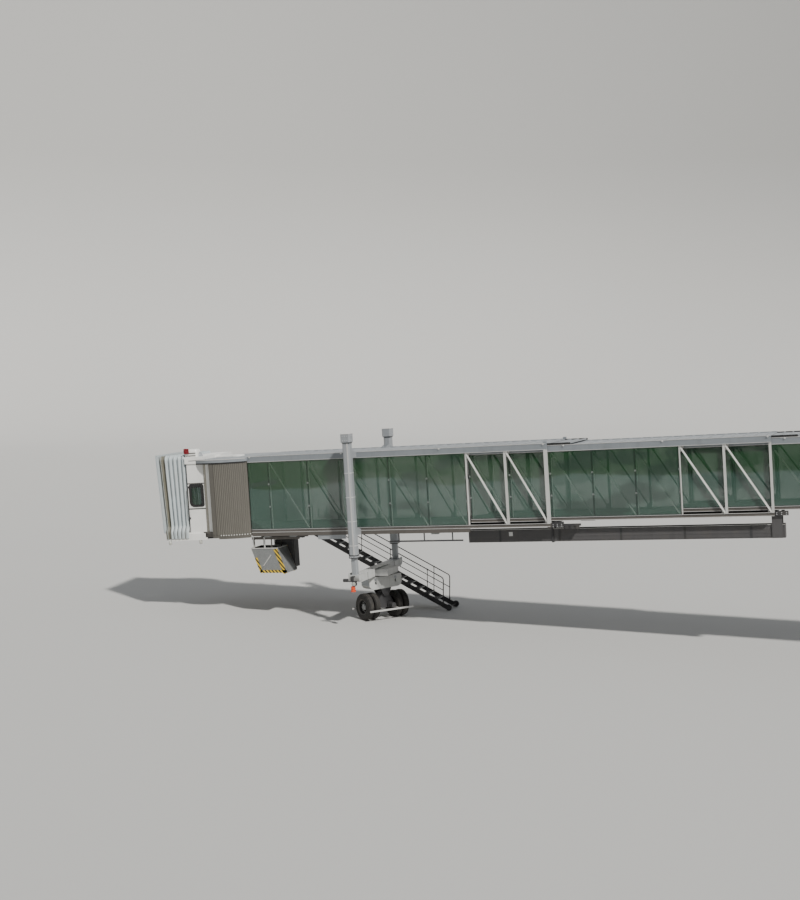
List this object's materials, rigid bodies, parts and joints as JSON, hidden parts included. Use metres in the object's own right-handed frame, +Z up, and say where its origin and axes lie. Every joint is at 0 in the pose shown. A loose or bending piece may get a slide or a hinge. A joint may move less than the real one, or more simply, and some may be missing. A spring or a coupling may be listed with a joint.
{
  "type": "passenger boarding bridge",
  "caption": "Glass-walled telescoping passenger boarding bridge with lift columns on a steered drive, turning cab with folding canopy, side stair and terminal rotunda.",
  "frame": {"origin": "centre of the underside of the terminal column's base plate, on the ground", "axes": "+Z up; the tunnels run out along -X and fall slightly; -Y is the side seen in the picture"},
  "size_m": [36.1214, 5.576, 8.28],
  "materials": {
    "column_paint": "painted",
    "frame_paint": "painted",
    "roof_paint": "painted",
    "box_paint": "painted",
    "dark_steel": "painted",
    "deck_steel": "painted",
    "basket_steel": "painted",
    "white_panel": "painted",
    "green_glass": "smooth",
    "curtain_slats": "painted",
    "canopy_fabric": "matte",
    "hoop_rubber": "matte",
    "tyre_rubber": "matte",
    "beacon_orange": "gloss"
  },
  "bodies": {
    "terminal": {"terminal_column": "column_paint", "rotunda_floor": "dark_steel", "rotunda_roof": "roof_paint", "terminal_portal": "white_panel", "rotunda_curtains": "curtain_slats"},
    "swing": {"swing_frame": "frame_paint"},
    "tunnel_a": {"tunnel_a_frames": "frame_paint", "tunnel_a_glass": "green_glass", "tunnel_a_floor": "deck_steel", "tunnel_a_roof": "roof_paint"},
    "tunnel_b": {"tunnel_b_frames": "frame_paint", "tunnel_b_glass": "green_glass", "tunnel_b_floor": "deck_steel", "tunnel_b_roof": "roof_paint", "tunnel_b_rollers": "dark_steel", "cable_tray": "dark_steel"},
    "tunnel_c": {"tunnel_c_frames": "frame_paint", "tunnel_c_glass": "green_glass", "tunnel_c_floor": "deck_steel", "tunnel_c_roof": "roof_paint", "tunnel_c_rollers": "dark_steel", "service_door": "white_panel", "lift_columns": "column_paint", "cable_rail": "dark_steel", "cable_basket": "basket_steel", "control_panel": "dark_steel", "under_beams": "dark_steel", "round_floor": "deck_steel", "round_roof": "roof_paint", "cab_curtains": "curtain_slats", "stair_landing": "dark_steel", "door_steps": "dark_steel", "landing_rails": "dark_steel"},
    "cab": {"cab_floor": "white_panel", "cab_turntable": "dark_steel", "cab_walls": "white_panel", "cab_window": "green_glass", "cab_roof": "white_panel", "cab_dome": "white_panel", "canopy_bellows": "canopy_fabric"},
    "canopy": {"canopy_hoop": "hoop_rubber"},
    "carriage": {"inner_columns": "column_paint", "cross_box": "box_paint", "beacon": "beacon_orange", "lamps": "dark_steel"},
    "bogie": {"turntable": "dark_steel", "bogie_beam": "box_paint"},
    "axle": {"axle_frame": "dark_steel", "guard_bars": "box_paint"},
    "near_wheels": {"wheel_near": "tyre_rubber"},
    "far_wheels": {"wheel_far": "tyre_rubber"},
    "stair": {"stair_flight": "dark_steel", "stair_rails": "dark_steel"},
    "stair_rollers": {"stair_wheels": "hoop_rubber"}
  },
  "joints": [
    {"name": "rotunda_turn", "type": "hinge", "parent": "terminal", "child": "swing", "pos_m": [0, 0, 4.84], "axis": [0, 0, 1], "range_deg": [-60, 60], "deforming": ["rotunda_curtains"]},
    {"name": "tunnel_pitch", "type": "hinge", "parent": "swing", "child": "tunnel_a", "pos_m": [-2.3, 0, 5.54], "axis": [0, 1, 0], "range_deg": [-1.4, 6]},
    {"name": "tunnel_b_slide", "type": "slide", "parent": "tunnel_a", "child": "tunnel_b", "axis": [-0.9977, 0, -0.068], "range_m": [-6.6, 0]},
    {"name": "tunnel_c_slide", "type": "slide", "parent": "tunnel_b", "child": "tunnel_c", "axis": [-0.9977, 0, -0.068], "range_m": [-6.6, 0]},
    {"name": "lift", "type": "slide", "parent": "tunnel_c", "child": "carriage", "axis": [0.068, 0, -0.9977], "range_m": [-0.55, 2.3]},
    {"name": "steer", "type": "hinge", "parent": "carriage", "child": "bogie", "pos_m": [-24.51082, 0, 1.70836], "axis": [-0.068, 0, 0.9977], "range_deg": [-52, 96]},
    {"name": "axle_rock", "type": "hinge", "parent": "bogie", "child": "axle", "pos_m": [-24.46253, 0, 1], "axis": [0.8367, -0.5446, 0.057], "range_deg": [-4, 4]},
    {"name": "near_wheels_roll", "type": "hinge", "parent": "axle", "child": "near_wheels", "pos_m": [-24.80481, -0.57664, 0.515], "axis": [0.5455, 0.8381, 0], "continuous": true},
    {"name": "far_wheels_roll", "type": "hinge", "parent": "axle", "child": "far_wheels", "pos_m": [-24.07381, 0.54641, 0.515], "axis": [0.5455, 0.8381, 0], "continuous": true},
    {"name": "cab_turn", "type": "hinge", "parent": "tunnel_c", "child": "cab", "pos_m": [-30.55306, 0, 3.15283], "axis": [-0.068, 0, 0.9977], "range_deg": [-38, 50], "deforming": ["cab_curtains"]},
    {"name": "canopy_slide", "type": "slide", "parent": "cab", "child": "canopy", "axis": [-0.9825, -0.1736, -0.067], "range_m": [-0.6, 0.12], "deforming": ["canopy_bellows"]},
    {"name": "stair_hinge", "type": "hinge", "parent": "tunnel_c", "child": "stair", "pos_m": [-28.47856, 2.65, 2.86326], "axis": [0, 1, 0], "range_deg": [-12, 14]},
    {"name": "stair_wheels_roll", "type": "hinge", "parent": "stair", "child": "stair_rollers", "pos_m": [-22.51739, 2.65, 0.125], "axis": [0, 1, 0], "continuous": true}
  ],
  "couplings": [
    {"joint": "tunnel_b_slide", "follows": "tunnel_c_slide", "ratio": 1}
  ]
}
